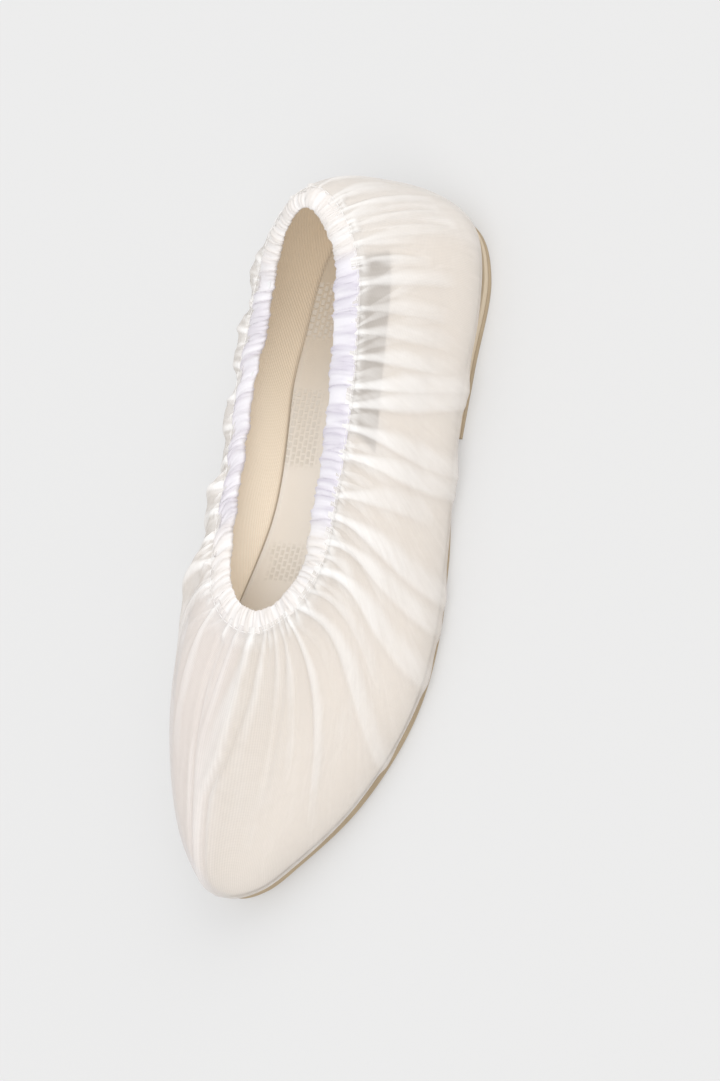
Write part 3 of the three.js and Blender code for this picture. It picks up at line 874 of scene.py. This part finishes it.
organza, add, wire = new_finish("organza", 0.55, Sheen_Weight=0.2, Sheen_Roughness=0.5)
measure = add("ShaderNodeUVMap", {}, uv_map="cloth").outputs["UV"]
warp, weft = [add("ShaderNodeTexWave", {"Vector": measure, "Scale": 620.0, "Distortion": 0.6, "Detail": 1.0},
                  bands_direction=way).outputs["Fac"] for way in ("X", "Y")]
weave = maths(add, "ADD", warp, weft)
drawn_out = add("ShaderNodeMapping", {"Vector": measure, "Scale": (260.0, 34.0, 1.0)}).outputs["Vector"]
crumple = noise(add, drawn_out, 1.0, 3.0, 0.55)
uneven = remap(add, noise(add, measure, 42.0, 4.0, 0.6), 0.3, 0.7, -0.12, 0.12)
creased = remap(add, crumple, 0.35, 0.65, -0.06, 0.06)
white = maths(add, "ADD", kept_value(add, "doubling_and_heel_light"), maths(add, "ADD", uneven, creased), clamp=True)
single = blend(add, kept_value(add, "blush"), tone(235, 228, 221), tone(241, 234, 232))
wire(blend(add, white, single, tone(249, 247, 245)))
cover = remap(add, white, 0.0, 1.0, 0.52, 0.97)
threads = remap(add, weave, 0.0, 2.0, -0.06, 0.03)
wire(maths(add, "ADD", cover, threads, clamp=True), "Alpha")
wire(bump(add, crumple, 0.25, 0.0009, over=bump(add, weave, 0.15, 0.0002)), "Normal")

SHEER_AROUND = 960
SHEER_OUT = 0.25
sheer_places = np.arange(SHEER_AROUND) * 2 / SHEER_AROUND
sheer_rows = np.r_[0, 0.008, 0.018, 0.03, 1 - np.linspace(0.956, 0, 92) ** 1.25, 1 + LAP]

points, out, height = wall(sheer_places, sheer_rows)
spacing = np.linalg.norm(np.gradient(points, axis=0), axis=2) / np.gradient(sheer_places)[:, None]
relief, layers = drape(sheer_places, sheer_rows, spacing)
tuck = smooth(0.0, 0.03, sheer_rows)[None]
inner_side = band(sheer_places, 1.05, 1.2, 1.8, 1.95)
puffed = 1.2 * np.sin(sheer_places * 42) + 0.6 * np.sin(sheer_places * 77 + 1) + 1.5
blouse = 1.1 * (puffed * inner_side)[:, None] * band(sheer_rows, 0.35, 0.80, 0.90, 1.0)[None]
swag = 0.25 + 0.25 * np.sin(points[..., 1] / 13 + points[..., 2] / 7)
pinned = 1 - 0.5 * smooth(0.985, 1.0, sheer_rows)[None]
swollen = np.maximum(swag + blouse + relief, 0) * tuck * pinned + overhang(sheer_places, sheer_rows)
points = points + out * (SHEER_OUT + swollen)[..., None]
sheer = lay_cloth("sheer_upper_cloth", organza, sheer_places, points, height, True)
around_heel = 1 - smooth(0.10, 0.17, from_heel(sheer_places))
bright = layers + 0.3 * smooth(0.92, 0.98, sheer_rows)[None] * (1 - 0.8 * around_heel[:, None])
# Painted light: round the heel the organza is painted whiter, where the light from above the heel falls
bright += 0.3 * around_heel[:, None]
bright = np.maximum(bright, 0.6 * (1 - smooth(0.015, 0.05, sheer_rows))[None])
keep_value(sheer, "doubling_and_heel_light", np.clip(bright, 0, 1))
rosy = band(sheer_places, 1.0, 1.03, 1.10, 1.25)
keep_value(sheer, "blush", np.repeat(rosy, len(sheer_rows)))
settle(sheer, "organza", "sheer_upper")


# -------------------- Elastic band
# Narrow woven elastic, drawn through the casing and joined end to end at the heel. It pulls the top edge
# in round the foot, and is out of sight in its own shape.

woven_elastic = speckled("woven_elastic", 0.75, tone(228, 228, 230), tone(250, 250, 250), 1200.0, 0.0002)
repaint("elastic_band", woven_elastic)


# -------------------- Topline casing
# A strip of organza folded over the top edge and drawn up by the elastic inside it, so that it ruches into
# close plump gathers. Along the quarters it has a faint cool cast, and the hollows between the gathers are
# painted darker as painted shade.

casing_cloth, add, wire = new_finish("casing_organza", 0.55, Sheen_Weight=0.2, Sheen_Roughness=0.5)
where = on_piece(add)
cool = kept_value(add, "cool")
patchy = noise(add, where, 210.0, 3.0, 0.6)
# Painted shade: the hollows between the gathers take this darker tone, the gather tops the plain one
painted_hollow_shade = blend(add, cool, tone(232, 225, 219), tone(212, 206, 218))
tinted = blend(add, patchy, tone(232, 229, 238), tone(246, 244, 246))
plain = blend(add, patchy, tone(240, 236, 234), tone(248, 246, 246))
crown = blend(add, cool, plain, tinted)
wire(blend(add, kept_value(add, "plump"), painted_hollow_shade, crown))
wire(bump(add, noise(add, where, 1600.0, 2.0), 0.2, 0.0002), "Normal")

ruche_inputs = {"Gathers": 15.0, "Height": 0.0013, "Seed": 3.0, "Finish": casing_cloth}
tree, given, add, close = new_tree("ruched casing", ruche_inputs)
turn = add("GeometryNodeInputNamedAttribute", {"Name": "turn"}, data_type="FLOAT_VECTOR")
puff = add("GeometryNodeInputNamedAttribute", {"Name": "puff"}, data_type="FLOAT")
wide_turn = add("ShaderNodeVectorMath", {0: turn.outputs["Attribute"], 3: given["Gathers"]},
                operation="SCALE")
wave = add("ShaderNodeTexNoise", {"Vector": wide_turn.outputs["Vector"], "W": given["Seed"], "Scale": 1.0,
                                  "Detail": 2.0, "Roughness": 0.55}, noise_dimensions="4D")
centred = maths(add, "SUBTRACT", wave.outputs["Fac"], 0.5)
even = maths(add, "MULTIPLY", maths(add, "ABSOLUTE", centred), 7.0, clamp=True)
rounded = maths(add, "POWER", even, 0.55)
lift = maths(add, "MULTIPLY", rounded, puff.outputs["Attribute"])
rise = maths(add, "MULTIPLY", lift, given["Height"])
facing = add("GeometryNodeInputNormal", {})
push = add("ShaderNodeVectorMath", {0: facing.outputs["Normal"], 3: rise}, operation="SCALE")
moved = add("GeometryNodeSetPosition", {"Geometry": given["Geometry"], "Offset": push.outputs["Vector"]})
kept = add("GeometryNodeStoreNamedAttribute", {"Geometry": moved.outputs["Geometry"], "Name": "plump",
                                               "Value": rounded}, data_type="FLOAT", domain="POINT")
close(kept.outputs["Geometry"])

# The folded strip's section, from its outer edge over the top and down inside: millimetres below the top
# edge, offset from the upper's face, and how much the gathers lift it there
CASING_SECTION = [
    (9.0, 0.35, 0.1), (8.7, 0.75, 0.5), (8.1, 1.15, 0.7), (7.3, 1.45, 0.9), (6.2, 1.65, 1.0),
    (5.0, 1.65, 1.0), (3.8, 1.55, 1.0), (2.6, 1.35, 1.0), (1.6, 0.95, 1.0), (0.8, 0.4, 0.9),
    (0.35, -0.3, 0.8), (0.3, -1.1, 0.7), (0.6, -1.9, 0.6), (1.4, -2.5, 0.5), (2.6, -2.8, 0.4),
    (4.2, -2.9, 0.4), (6.2, -2.8, 0.4), (8.3, -2.7, 0.2), (8.4, -2.3, 0.0),
]
CASING_AROUND = 1500
casing_places = np.arange(CASING_AROUND) * 2 / CASING_AROUND
depths = sorted({round(1 + CASING - below, 3) for below, _, _ in CASING_SECTION})
points, out, _ = wall(casing_places, depths)
slack = 0.5 * np.sin(casing_places * 97) + 0.5 * np.sin(casing_places * 61 + 2)
slack *= 0.35 + 0.5 * band(casing_places, 1.1, 1.25, 1.75, 1.9)
outer_band = band(casing_places, 0.12, 0.25, 0.75, 0.85)
at_throat = band(casing_places, 0.80, 0.92, 1.08, 1.2)
at_heel = 1 - smooth(0.08, 0.15, from_heel(casing_places))
plump = 1 - 0.45 * at_throat - 0.3 * at_heel
top_out = outward(top_sides, casing_places)
rings = []
for below, offset, lifted in CASING_SECTION:
    level = depths.index(round(1 + CASING - below, 3))
    leans = 2.0 * (1 - smooth(1.0, 6.5, below)) * outer_band
    rings.append(points[:, level] + out[:, level] * (offset * plump + slack * lifted)[:, None]
                 - top_out * leans[:, None])
casing = make_piece("topline_casing_cloth", np.stack(rings, axis=1).reshape(-1, 3),
                    grid_faces(CASING_AROUND, len(CASING_SECTION), True), casing_cloth)
closeness = 1 + 1.3 * at_throat + 1.2 * at_heel
angle = np.cumsum(closeness)
angle *= 2 * np.pi / angle[-1]
slant = np.linspace(0, 1, len(CASING_SECTION))
turned = angle[:, None] - 0.08 * slant + 0.03 * np.sin(7 * angle)[:, None] * slant
turn_values = np.stack([np.cos(turned), np.sin(turned),
                        np.broadcast_to(0.05 * slant, (CASING_AROUND, len(slant)))], axis=2)
where_on = casing.data.attributes.new("turn", "FLOAT_VECTOR", "POINT")
where_on.data.foreach_set("vector", turn_values.ravel())
lifts = np.array([lifted for _, _, lifted in CASING_SECTION])[None]
keep_value(casing, "puff", lifts * (1 - 0.35 * (at_throat + at_heel))[:, None])
cool_along = band(casing_places, 0.12, 0.17, 0.72, 0.80) + 0.8 * band(casing_places, 1.2, 1.3, 1.75, 1.88)
keep_value(casing, "cool", np.repeat(cool_along, len(CASING_SECTION)))
grow(casing, tree, ruche_inputs)
settle(casing, "casing_organza", "topline_casing")


# -------------------- Casing stitching
# One row of short lock stitches in off-white thread along the casing's lower edge, which holds casing,
# organza, base cloth and lining together.

thread, add, wire = new_finish("thread", 0.7)
where = on_piece(add)
twist = add("ShaderNodeTexWave", {"Vector": where, "Scale": 900.0, "Distortion": 2.0}).outputs["Fac"]
wire(blend(add, twist, tone(246, 244, 242), tone(252, 251, 250)))

stitch_inputs = {"Stitch length": 0.0022, "Thread": 0.00012, "Pitch": 0.0030, "Finish": thread}
tree, given, add, close = new_tree("stitches", stitch_inputs)
line = add("GeometryNodeMeshToCurve", {"Mesh": given["Geometry"]})
marks = add("GeometryNodeCurveToPoints", {"Curve": line.outputs["Curve"], "Length": given["Pitch"]},
            mode="LENGTH")
stitch = add("GeometryNodeMeshUVSphere", {"Segments": 8, "Rings": 6, "Radius": 1.0})
size = add("ShaderNodeCombineXYZ", {"X": given["Thread"], "Y": given["Thread"],
                                    "Z": maths(add, "MULTIPLY", given["Stitch length"], 0.5)})
laid = add("GeometryNodeInstanceOnPoints", {"Points": marks.outputs["Points"],
                                            "Instance": stitch.outputs["Mesh"],
                                            "Rotation": marks.outputs["Rotation"],
                                            "Scale": size.outputs["Vector"]})
close(laid.outputs["Instances"])

STITCH_BELOW = 8.4
STITCH_OUT = 0.95
points, out, _ = wall(ring_places, [1 + CASING - STITCH_BELOW - 0.4, 1 + CASING - STITCH_BELOW])
seam = [(i, (i + 1) % AROUND) for i in range(AROUND)]
stitching = make_piece("casing_stitches", points[:, 1] + out[:, 1] * STITCH_OUT, [], thread, edges=seam)
grow(stitching, tree, stitch_inputs)
for face in stitching.data.polygons:
    face.use_smooth = True
settle(stitching, "thread", "casing_stitching")


# -------------------- Studio
# A plain pale floor under the sole, partly self-lit like a light table so that shadows stay faint, soft
# light from above the heel, and a long-lens camera above the outer side, rolled so that the toe points down.

floor_finish, add, wire = new_finish("studio_floor", 0.9, Emission_Strength=0.38,
                                     Emission_Color=(1, 1, 1, 1))
paper = noise(add, on_piece(add), 3.0, 1.0)
wire(blend(add, paper, tone(169, 169, 169), tone(170, 170, 170)))
FLOOR = 6
floor_mesh = bpy.data.meshes.new("studio_floor")
floor_mesh.from_pydata([(-FLOOR, -FLOOR, 0), (FLOOR, -FLOOR, 0), (FLOOR, FLOOR, 0), (-FLOOR, FLOOR, 0)],
                       [], [(0, 1, 2, 3)])
floor_mesh.materials.append(floor_finish)
floor = show("studio_floor", floor_mesh)

# The pale studio lights the shoe softly from all round, and seen behind it has the floor's own shade
world = bpy.data.worlds.new("studio")
world.use_nodes = True
studio = world.node_tree
add = node_adder(studio)
seen = studio.nodes["Background"]
seen.inputs["Color"].default_value = tone(236, 236, 236)
lit = add("ShaderNodeBackground", {"Color": (1.0, 1.0, 1.0, 1), "Strength": 0.70})
straight = add("ShaderNodeLightPath", {}).outputs["Is Camera Ray"]
either = add("ShaderNodeMixShader", {0: straight, 1: lit.outputs[0], 2: seen.outputs[0]})
studio.links.new(either.outputs[0], studio.nodes["World Output"].inputs["Surface"])
bpy.context.scene.world = world


def facing_frame(away):
    """Three unit directions of something that looks back along away: away, level and upright."""
    away = away / np.linalg.norm(away)
    level = np.cross((0, 0, 1), away)
    level /= np.linalg.norm(level)
    return away, level, np.cross(away, level)


def stand(right, above, back, place):
    return Matrix([(right[k], above[k], back[k], place[k]) for k in range(3)] + [(0, 0, 0, 1)])


def soft_light(name, toward, strength, spread, colour):
    """A distant lamp as wide as a softbox, which looks at the shoe from some direction."""
    light = bpy.data.lights.new(name, "SUN")
    light.energy = strength
    light.angle = math.radians(spread)
    light.color = colour
    far, sideways, upward = facing_frame(np.array(toward, float))
    show(name, light).matrix_world = stand(sideways, upward, far, 2 * far)


soft_light("key", (0.35, 0.75, 0.55), strength=0.80, spread=55, colour=(1.0, 0.99, 0.97))
soft_light("fill", (0.40, -0.38, 0.83), strength=1.1, spread=40, colour=(1.0, 1.0, 1.0))

EYE = np.array((0.7989, -0.2908, 1.0186))
AIM = np.array((0.0241, -0.0056, 0.0300))
ROLL = math.radians(59.9)
LENS = 131.5
toward, level, upright = facing_frame(EYE - AIM)
right = level * math.cos(ROLL) - upright * math.sin(ROLL)
above = upright * math.cos(ROLL) + level * math.sin(ROLL)
lens = bpy.data.cameras.new("camera")
lens.lens = LENS
lens.sensor_width = 36
lens.clip_start = 0.05
lens.clip_end = 30
camera = show("camera", lens)
camera.matrix_world = stand(right, above, toward, EYE)
bpy.context.scene.camera = camera
bpy.context.scene.view_settings.view_transform = "Standard"
